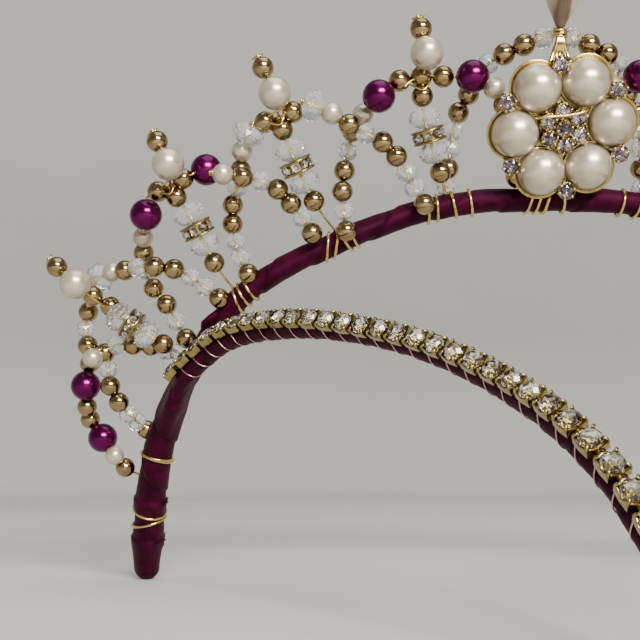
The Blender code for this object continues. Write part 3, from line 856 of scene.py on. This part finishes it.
def add_ribbon(piece, path, lengths, radius_at, facing_at, winding, front=None):
    """A wrapped ribbon: each turn's edge lies a little proud of the next, on a helix.

    Where a front band is given, the ribbon is wrapped round both as long as they lie close.
    """
    verts = []
    uvs = []
    for length in lengths:
        radius = radius_at(length)
        along, facing, left = ribbon_frame(path, length, facing_at(length))
        centre = path.at(length)
        offset = front_offset(front, centre, along) if front else None
        wobble = noise.noise(Vector((length * 0.09, winding.drift, 0.0))) * WAVINESS
        for turn in round_turns(winding.sides):
            out = around(facing, left, turn)
            phase = length / winding.pitch - turn / (2.0 * pi) + wobble
            part = phase - floor(phase)
            fade = min(1.0, part * EDGE_RISE) * (1.0 - part) ** EDGE_FADE * min(1.0, radius / FRONT_R)
            spot = Vector((length * 0.35, cos(turn) * 1.1,
                           sin(turn) * 1.1 + winding.drift))
            crease = noise.noise(spot) * COARSE_CREASE + noise.noise(spot * 3.1) * FINE_CREASE
            reach = radius if offset is None else hull_radius(out, radius, offset)
            verts.append(centre + out * (reach + winding.edge * fade + crease * min(1.0, radius)))
            uvs.append((phase, (length + turn * 1.2) * 0.5))
    piece.add(off_floor(np.array(verts)), ring_faces(len(lengths), winding.sides), "ribbon")
    piece.uvs = uvs


def add_band_wire(piece, path, length, radius, tilt, roll=0.0, stretch=0.0):
    """One turn of wire round a band, tilted about the viewer's line and rolled towards it."""
    along, front, left = ribbon_frame(path, length, OUT)
    centre = path.at(length)
    lean = tan(radians(tilt))
    bow = tan(radians(roll))
    points = []
    for turn in round_turns(26):
        out = around(front, left, turn) * (radius + stretch * max(0.0, -sin(turn)))
        points.append(centre + out + along * (sin(turn) * lean + cos(turn) * bow) * radius)
    verts, faces = tube(points, BAND_WIRE_R, 7, closed=True)
    piece.add(off_floor(verts), faces, "wire")


def build_frays(arch):
    """Short threads that stand out of the ribbon's cut edges, and its loose end on the arch."""
    threads = Piece("ribbon_frays")
    for side in (1, -1):
        for up, degrees in FRAYS:
            length = leg_length(arch, up, side)
            along, front, left = ribbon_frame(arch, length, OUT)
            centre = arch.at(length)
            for _ in range(THREADS_PER_FRAY):
                turn = radians(-degrees + random.uniform(-14.0, 14.0))
                out = around(front, left, turn)
                foot = centre + out * (arch_radius(up) + 0.15) + along * random.uniform(-0.5, 0.5)
                lean = along * random.uniform(-0.8, 0.8) + out * random.uniform(0.3, 0.7)
                tip = foot + unit(lean) * random.uniform(0.5, 1.1)
                points = [foot, (foot + tip) / 2.0 + out * 0.1, tip]
                threads.add_tube(points, (0.12, 0.1, 0.05), 5, "ribbon")
    for side in (1, -1):
        points = crown_points([row[:3] for row in LOOSE_END], side)
        threads.add_tube(points, [row[3] for row in LOOSE_END], 12, "ribbon")
    threads.uvs = [(0.5, 0.1 * i) for i in range(threads.count)]
    threads.finish("plum_ribbon", "tiara_band")


def front_offset(front, centre, along):
    """Where the front band lies off the leg's centre, across the leg, while both share a wrap."""
    away = front.points - centre
    nearest = away[np.argmin(np.linalg.norm(away, axis=1))]
    miss = np.dot(nearest, along)
    flat = nearest - along * miss
    reach = float(np.linalg.norm(flat))
    share = min(1.0, max(0.0, (SPLIT_REACH - reach) / SPLIT_FADE))
    share *= max(0.0, 1.0 - abs(miss) / LEG_BLEND)
    return flat * share if share > 0.0 else None


def hull_radius(out, radius, offset):
    """Distance to the outline of the leg's round and the front band's round drawn together."""
    best = radius
    for step in range(1, HULL_STEPS + 1):
        middle = offset * step / HULL_STEPS
        own = radius + (FRONT_R - radius) * step / HULL_STEPS
        forward = float(np.dot(middle, out))
        beside = float(np.dot(middle, middle)) - forward * forward
        if beside < own * own:
            best = max(best, forward + sqrt(own * own - beside))
    return best


def build_tiara_band(arch, front):
    def radius_at(length):
        up = arch.at(length)[2] / sin(CROWN_LEAN)
        from_end = min(length, arch.total - length) - TIP_LIFT
        shape = np.interp(up, *zip(*LEG_SHAPE))
        round_end = sqrt(max(0.012, 1.0 - max(0.0, 1.0 - from_end / TIP_ROUND) ** 2))
        return (arch_radius(up) + float(shape)) * round_end

    near = [TIP_LIFT + ring for ring in TIP_RINGS]
    first = near[-1] + 0.3
    middle = even_steps(first, arch.total - first, int(arch.total / RIBBON_STEP))
    lengths = [*near, *middle, *[arch.total - length for length in reversed(near)]]
    band = Piece("tiara_band_ribbon")
    add_ribbon(band, arch, lengths, radius_at, lambda length: OUT, TIARA_WINDING, front)
    band.finish("plum_ribbon", "tiara_band")


def build_wraps(arch):
    """The wire turns that tie strings, spikes and brooch to the arch, and the legs' loops."""
    wires = Piece("band_wire_wraps")
    rows = [Wrap(row.across * side, row.tilt * side) for row in WRAPS for side in (1, -1)]
    for row in [*rows, *MIDDLE_WRAPS]:
        up = float(np.interp(-abs(row.across), ARCH_ACROSS, ARCH_UP))
        length = arch.nearest(crown_point(row.across, up))
        add_band_wire(wires, arch, length, ARCH_R + WRAP_CLEAR, row.tilt, stretch=0.2)
    for side in (1, -1):
        for row in LEG_LOOPS:
            length = leg_length(arch, row.up, side)
            add_band_wire(wires, arch, length, arch_radius(row.up) + 0.42, row.tilt * side, row.roll)
    wires.finish("gold_bead", "tiara_band")


def chain_frame(front, length):
    """Where the chain lies on the front band: seat, along, across and up."""
    seat = front.at(length)
    along = front.direction(length, 1.2)
    turned = (FACING_TURNS_FROM - abs(seat[0])) / (FACING_TURNS_FROM - FACING_TURNS_TO)
    turned = max(0.0, min(1.0, turned))
    facing = CHAIN_FACING_LEG * (1.0 - turned) + CHAIN_FACING_PEAK * turned
    facing[0] = copysign(facing[0], seat[0])
    up = unit(facing - along * np.dot(facing, along))
    return seat + up * (FRONT_R + GAP), along, np.cross(along, up), up


def cup_lengths(front):
    last = front.total / 2.0 - PEAK_CLEAR
    return even_steps(CHAIN_START, last, round((last - CHAIN_START) / CUP_PITCH))


def build_front_band(front):
    def radius_at(length):
        from_end = min(length, front.total - length)
        scallop = abs(sin(pi * (length - CHAIN_START) / CUP_PITCH)) * 0.07
        return FRONT_R * min(1.0, 0.7 + 0.03 * max(0.0, from_end)) + scallop - 0.05

    lengths = even_steps(-END_IN_LEG, front.total + END_IN_LEG, int(front.total / RIBBON_STEP))
    band = Piece("front_band_ribbon")
    add_ribbon(band, front, lengths, radius_at, lambda length: chain_frame(front, length)[3],
               FRONT_WINDING)
    band.finish("plum_ribbon", "front_band")


def build_binding(front):
    """Thin wire that crosses the chain between two stones and slants round the band."""
    wires = Piece("front_band_binding")
    left = cup_lengths(front)
    for side in (1, -1):
        points = []
        for low, high in zip(left, left[1:]):
            for step, turn in enumerate(round_turns(BINDING_SIDES)):
                length = (low + high) / 2.0 + (high - low) * step / BINDING_SIDES
                if side < 0:
                    length = front.total - length
                seat, along, across, up = chain_frame(front, length)
                reach = BINDING_REACH + max(0.0, cos(turn)) ** 6
                points.append(front.at(length) + around(up, across * side, turn) * reach)
        verts, faces = tube(points, BINDING_R, 6)
        wires.add(off_floor(verts), faces, "binding")
    wires.finish("gold_bead", "front_band")


def cup_form():
    """A square cup with a floor, four walls that lean in a little and four corner claws."""
    half = CUP_WIDTH / 2.0
    rows = ((half * 0.9, 0.0), (half, 0.25), (half, CUP_HEIGHT - 0.15), (half * 0.97, CUP_HEIGHT),
            (half * 0.86, CUP_HEIGHT), (half * 0.8, 0.5))
    corners = ((-1, -1), (0, -1), (1, -1), (1, 0), (1, 1), (0, 1), (-1, 1), (-1, 0))
    verts = []
    for reach, height in rows:
        for a, b in corners:
            corner = abs(a) == abs(b)
            share = 0.93 if corner else 1.0
            dip = 0.0 if corner or height < CUP_HEIGHT - 0.2 else -0.35
            verts.append((a * reach * share, b * reach * share, height + dip))
    form = [(np.array(verts), ring_faces(len(rows), 8), "cup", False)]
    for a, b in corners[::2]:
        foot = np.array((a * half * 0.86, b * half * 0.86, CUP_HEIGHT - 0.3))
        top = np.array((a * half * 0.64, b * half * 0.64, CUP_HEIGHT + 0.42))
        bend = (foot + top) / 2.0 + np.array((a, b, 1.6)) * 0.09
        claw = tube([foot, bend, top, top * (0.9, 0.9, 1.0)], (0.26, 0.24, 0.2, 0.1), 6)
        form.append((*claw, "cup", True))
    return form


def add_cup(piece, form, seat, along, across, up, spin):
    piece.put(form, seat, np.column_stack((along, across, up)))
    stone = seat + up * (CUP_HEIGHT - 0.1)
    add_stone(piece, stone, up, CUP_WIDTH * 0.47, spin, 0.78, back="warm foil")


def build_chains(front):
    form = cup_form()
    left = cup_lengths(front)
    for word, lengths in (("left", left), ("right", [front.total - length for length in left])):
        chain = Piece(f"stone_chain_{word}_cups")
        seats = [chain_frame(front, length) for length in lengths]
        for seat, along, across, up in seats:
            add_cup(chain, form, seat, along, across, up, random.random())
        for (one, _, _, up), (two, _, _, _) in zip(seats, seats[1:]):
            link = np.array((one, (one + two) / 2.0, two)) + up * 0.45
            chain.add_tube(link, 0.3, 6, "cup")
        chain.finish("clear_stone", f"stone_chain_{word}")
    peak = Piece("peak_stone_cup")
    add_cup(peak, form, *chain_frame(front, front.total / 2.0), 0.3)
    peak.finish("clear_stone", "peak_stone")


# Beaded strings and spikes


def build_string(row, word, side, arch, node):
    path = Path(crown_points(row.path, side))
    piece = Piece(f"{row.name}_{word}_beads")
    needed = sum(BEADS[letter].length for letter in row.beads) - BEADS[row.beads[-1]].length / 2.0
    last = row.reach or path.total
    add_beads(piece, path, row.beads, last / needed)
    add_wire(piece, path, -0.8, last)
    end = path.at(last)
    foot = arch.at(arch.nearest(end))
    piece.add_tube([path.at(last - 0.5), end, (end + foot) / 2.0, foot], WIRE_R)
    add_coil(piece, path.at(0.0), path.direction(0.2), *CROSSING_COIL)
    piece.finish("gold_bead", f"{node}_{word}")


def build_bead(node, ending, form, centre, through, slot):
    """A bead that is a node of its own."""
    bead = Piece(f"{node}_{ending}")
    bead.place(FORMS[form], centre, through)
    bead.finish(slot, node)


def build_spike(number, row, word, side, arch):
    bar = Path(crown_points(row.bar, side))
    drop = Path(crown_points(row.drop, side))
    piece = Piece(f"spike_drop_{word}_{number}_beads")
    bar_end = add_beads(piece, bar, row.bar_beads)
    add_wire(piece, bar, -0.6, bar_end + 0.6)
    end = add_beads(piece, drop, row.drop_beads)
    stop = run_on_to_band(drop, end, arch, ARCH_R + WRAP_CLEAR)
    add_wire(piece, drop, -0.8, stop)
    add_coil(piece, drop.at(0.0), drop.direction(0.0), *CROSSING_COIL)
    pearl, top = crown_points((row.pearl, row.top), side)
    foot = drop.at(0.0)
    rise = unit(top - pearl)
    stem = Path([foot, pearl, top + rise * STEM_RISE])
    add_wire(piece, stem, 0.0, stem.total)
    add_coil(piece, top + rise * TOP_COIL_RISE, rise, *TOP_COIL)
    axes = np.array((unit(np.cross(rise, OUT)), rise, OUT))
    piece.add_curve(top + np.array(CUT_END) @ axes, 0.17, 4, 6)
    for tie in CROSS_TIES if number <= LAST_TIED_SPIKE else ():
        piece.add_curve(foot + np.array(tie) @ axes, COIL_WIRE_R, sides=6)
    piece.finish("gold_bead", f"spike_drop_{word}_{number}")
    through = stem.direction(stem.nearest(pearl), 1.0)
    build_bead(f"spike_pearl_{word}_{number}", "bead", "pearl", pearl, through, "cream_pearl")
    build_bead(f"spike_gold_{word}_{number}", "bead", "G", top, rise, "gold_bead")


# Brooch and teardrop


def brooch_point(ring, degrees, out):
    turn = radians(degrees) + BROOCH_TURN
    across, up = BROOCH_CENTRE
    return crown_point(across + ring * cos(turn), up + ring * sin(turn), out)


def add_set_stone(piece, row, degrees):
    """A cut stone in a round gold cup with six claws, looking out of the crown."""
    centre = brooch_point(row.ring, degrees, BROOCH_BACK + row.out)
    radius = row.radius
    cup = lathe(((-row.depth, radius * 0.5), (-row.depth, radius * 0.8), (-0.1, radius * 1.08),
                 (0.12, radius * 1.08), (0.12, radius * 0.98), (-0.25, radius * 0.92),
                 (-1.3, radius * 0.3)), 16, "cup")
    piece.place(cup, centre, OUT)
    add_stone(piece, centre + OUT * 0.1, OUT, radius, random.random(), 0.6, 0.7)
    for turn in round_turns(6):
        out = around(ACROSS, UP, turn + 0.3) * radius
        claw = [centre + out * reach + OUT * rise
                for reach, rise in ((1.06, -0.4), (1.04, 0.25), (0.8, 0.5))]
        piece.add_tube(claw, (0.24, 0.24, 0.14), 6)


def build_brooch():
    plate = Piece("brooch_setting")
    centre = crown_point(*BROOCH_CENTRE, BROOCH_BACK)
    plate.place(lathe(DISC_PROFILE, 48, "cup"), centre, OUT)
    plate.place(lathe(HUB_PROFILE, 36, "cup"), centre, OUT)
    for i in range(6):
        degrees = 60.0 * i
        spot = brooch_point(PEARL_RING + 0.3, degrees, BROOCH_BACK)
        plate.place(lathe(DISH_PROFILE, 40, "cup"), spot, OUT)
        rim = torus(PEARL_RIM_R, COIL_WIRE_R, 44)
        plate.place(rim, spot + OUT * PEARL_RIM_OUT, OUT)
        pearl = brooch_point(PEARL_RING, degrees, BROOCH_BACK + PEARL_OUT)
        plate.place(whole_bead(BROOCH_PEARL_R, "pearl"), pearl, OUT)
        add_set_stone(plate, OUTER_STONES, degrees + 30.0)
        add_set_stone(plate, INNER_STONES, degrees + 30.0)
    add_set_stone(plate, MIDDLE_STONE, 0.0)
    plate.add_curve(crown_points(BROOCH_WIRE, 1), 0.27, 12)
    plate.finish("cream_pearl", "brooch")


def build_teardrop():
    drop = Piece("teardrop_pearl_drop")
    tip = crown_point(*DROP_TIP)
    profile = Path([np.array((h, r, 0.0)) for h, r in DROP_PROFILE], 4).points
    drop.place(lathe(profile[:, :2], 36, "drop"), tip, UP)
    drop.finish("cream_pearl", "teardrop_pearl")
    node = Piece("teardrop_wire_node")
    axes = np.array((ACROSS, UP, OUT))
    for rise, reach, lean in DROP_LOOPS:
        node.place(torus(reach, BAND_WIRE_R, 26), tip + UP * rise, UP + ACROSS * lean)
    node.add_tube([tip - UP * 4.6, tip + UP * 0.3], 0.6, 10)
    for spread_out in DROP_STRANDS:
        rows = [(spread_out * share, up, out) for share, up, out in STRAND_FALL]
        node.add_curve(tip + np.array(rows) @ axes, 0.42)
    for side in (1, -1):
        rows = ((0.0, -0.8, 0.0), (side * 2.4, -1.1, -0.5), (side * 5.6, -2.0, -0.8))
        node.add_curve(tip + np.array(rows) @ axes, WIRE_R)
    node.finish("gold_bead", "teardrop_pearl")


def build_headpiece():
    arch = arch_path()
    front = front_path()
    build_tiara_band(arch, front)
    build_frays(arch)
    build_wraps(arch)
    build_front_band(front)
    build_binding(front)
    build_chains(front)
    for word, side in (("left", 1), ("right", -1)):
        for row in STRINGS:
            build_string(row, word, side, arch, row.name)
        build_string(LEG_BRANCH, word, side, arch, "leg_string")
        for number, row in enumerate(SPIKES, 1):
            build_spike(number, row, word, side, arch)
        for number, spot in enumerate(PURPLE_BEADS, 1):
            through = np.array((0.8 * side, 0.1, 0.5))
            build_bead(f"purple_bead_{word}_{number}", "pearl", "M", crown_points([spot], side)[0],
                       through, "purple_pearl")
    build_brooch()
    build_teardrop()


# Floor, light and camera


def build_stage():
    """A pale floor that curves up into a wall all round."""
    rows = [(0.0, 250.0, 0.0), (0.0, 600.0, 0.0), (0.0, FLOOR_REACH, 0.0)]
    for turn in even_steps(0.0, pi / 2.0, 14)[1:]:
        rise = WALL_BEND * (1.0 - cos(turn))
        rows.append((rise, FLOOR_REACH + WALL_BEND * sin(turn), 0.0))
    rows.append((WALL_TOP, FLOOR_REACH + WALL_BEND, 0.0))
    sides = 96
    verts = rings_about_z(rows, sides)
    faces = [list(range(sides))]
    for ring in range(len(rows) - 1):
        for side in range(sides):
            near, after = ring * sides + side, ring * sides + (side + 1) % sides
            faces.append([near, near + sides, after + sides, after])
    mesh = bpy.data.meshes.new("studio_floor")
    mesh.from_pydata((verts * MM).tolist(), [], faces)
    mesh.shade_smooth()
    mesh.materials.append(floor_material())
    add_object("studio_floor", mesh)


def floor_material():
    """Pale plaster with painted light and shade: lighter at the foot of the wall and darker halfway
    up it, darker on the camera's side of the room and lighter towards the far side.
    """
    made, tree, shader = new_material("pale_floor")
    cloud = noise_of(tree, 3.0, 2.0)
    colour = ramp_colour(cloud, (0.3, (0.60, 0.59, 0.565)), (0.7, (0.63, 0.62, 0.595)))
    where = coords(tree)
    # Painted light and shade by height: brighter at the foot of the wall's bend, darker halfway up,
    # paler again at the top
    wall = ramp_colour(spread(axis_of(where, "Z"), 0.0, 1.0, 0.0, 0.8),
                       (0.0, 1.0), (0.005, 1.11), (0.05, 1.1), (0.14, 0.98), (0.3, 0.84),
                       (0.55, 0.86), (1.0, 1.04))
    # Painted shade on the camera's side of the room, turning to painted light towards the far side
    # where the lamps' light falls off
    room = ramp_colour(spread(axis_of(where, "Y"), 0.0, 1.0, -1.4, 0.9),
                       (0.0, (0.85, 0.84, 0.84)), (0.35, 0.86), (0.6, 0.86), (0.66, 0.93),
                       (0.76, 1.1), (1.0, 1.3))
    set_inputs(shader, Base_Color=multiplied(multiplied(colour, wall), room),
               Roughness=0.8, Specular_IOR_Level=0.2)
    return made


def add_light(name, place, aim, size, power, colour):
    lamp = bpy.data.lights.new(name, "AREA")
    lamp.shape = "RECTANGLE"
    lamp.size, lamp.size_y = size
    lamp.energy = power
    lamp.color = colour
    made = add_object(name, lamp)
    made.location = place
    made.rotation_mode = "QUATERNION"
    made.rotation_quaternion = (Vector(aim) - Vector(place)).to_track_quat("-Z", "Y")


def build_light():
    """A pale room: soft all-round light, a window-like panel behind the camera and one above."""
    world = bpy.context.scene.world or bpy.data.worlds.new("studio")
    bpy.context.scene.world = world
    world.use_nodes = True
    tree = world.node_tree
    height = axis_of(coords(tree, "Generated"), "Z")
    colour = ramp_colour(height, (0.3, (0.80, 0.80, 0.79)), (0.8, (0.55, 0.55, 0.56)))
    set_inputs(tree.nodes["Background"], Color=colour, Strength=0.5)
    add_light("window_panel", (0.175, -0.684, 0.363), (-0.04, 0.02, 0.05), (0.42, 0.20), 16.0,
              (1.0, 0.985, 0.96))
    add_light("ceiling_panel", (0.1, -0.2, 1.1), (0.0, 0.0, 0.05), (0.9, 0.9), 5.5,
              (1.0, 0.98, 0.96))


def build_camera():
    """The photo's view: before the left half, close to the floor and looking up a little."""
    lens = bpy.data.cameras.new("photo_camera")
    lens.sensor_width = 36.0
    lens.lens = 54.0
    lens.clip_start = 0.005
    lens.clip_end = 20.0
    camera = add_object("photo_camera", lens)
    camera.location = CAMERA_PLACE
    camera.rotation_euler = (radians(90.0 + CAMERA_RISE), 0.0, 0.0)
    bpy.context.scene.camera = camera


build_headpiece()
build_stage()
build_light()
build_camera()
